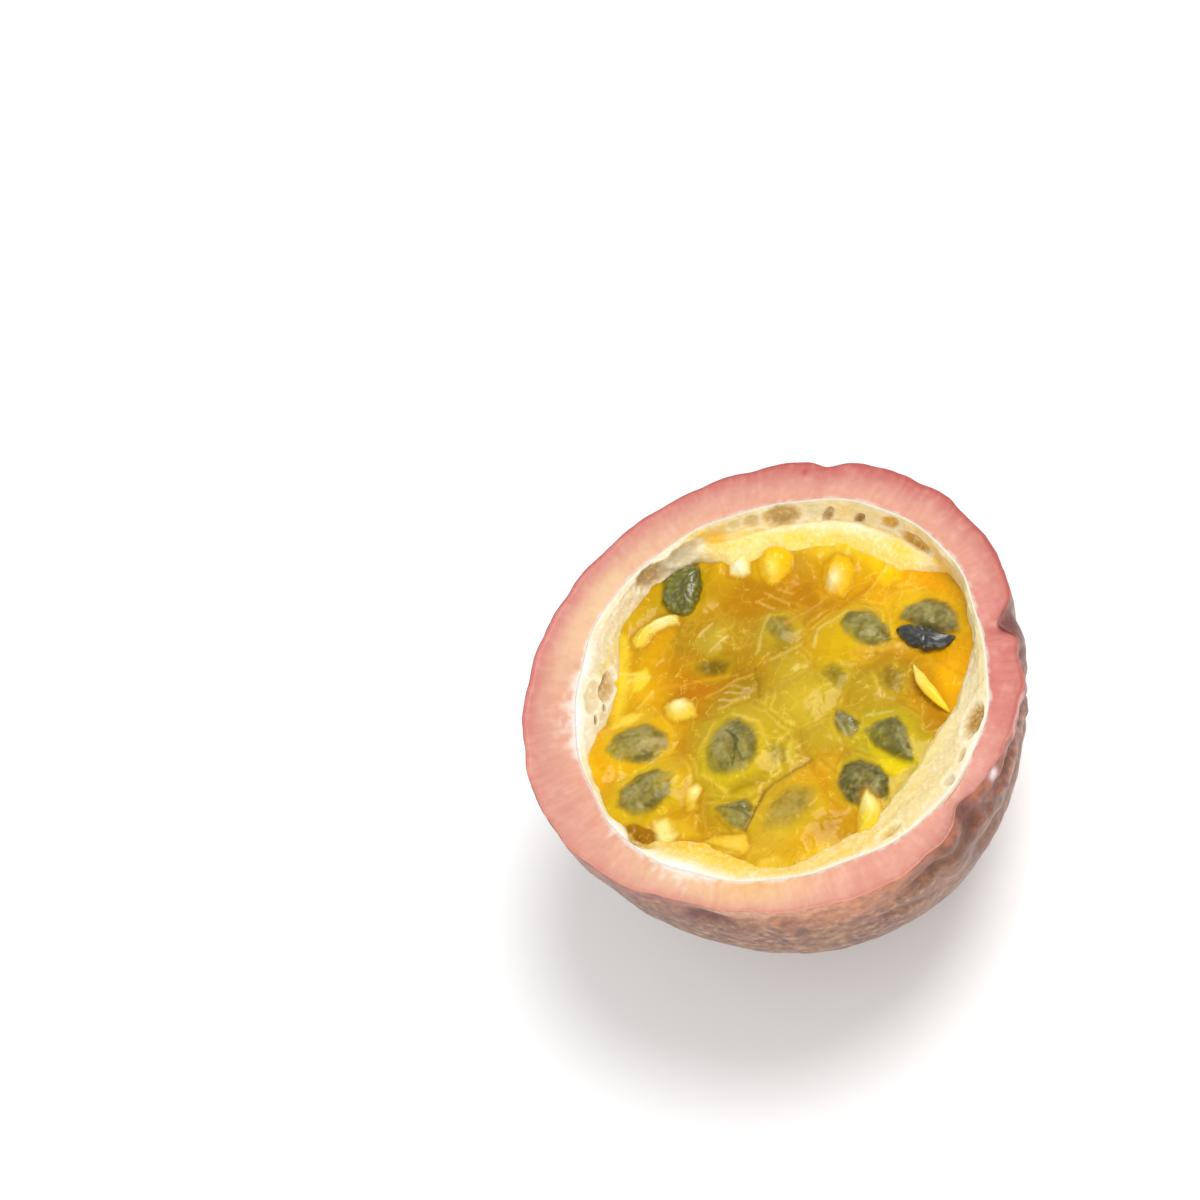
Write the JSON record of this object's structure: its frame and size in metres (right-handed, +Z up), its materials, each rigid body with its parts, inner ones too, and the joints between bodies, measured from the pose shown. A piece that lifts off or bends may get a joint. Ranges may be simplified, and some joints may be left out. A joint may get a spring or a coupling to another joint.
{
  "type": "passion fruit half",
  "caption": "Half of a ripe passion fruit, cut across and lying cut face up: wrinkled skin over pink flesh, white spongy pith, and wet yellow juice sacs with dark seeds.",
  "frame": {"origin": "middle of the small flat spot under the shell, on the surface that the half rests on", "axes": "+Z up through the middle of the level cut face; +X and +Y lie across the cut face, with the thick side of the pink flesh towards -X and the folded, shrunk skin towards +X and -Y"},
  "size_m": [0.0519, 0.0519, 0.027],
  "materials": {
    "shell": "wrinkled brown and maroon skin with pale freckles outside, moist salmon-pink flesh at the cut",
    "pith": "cream-white spongy pith, stained yellow by juice in places",
    "pulp": "wet, translucent yellow-orange juice sacs with olive-grey seeds"
  },
  "bodies": {
    "root": {"shell": "shell", "pith": "pith", "pulp": "pulp"}
  },
  "joints": []
}
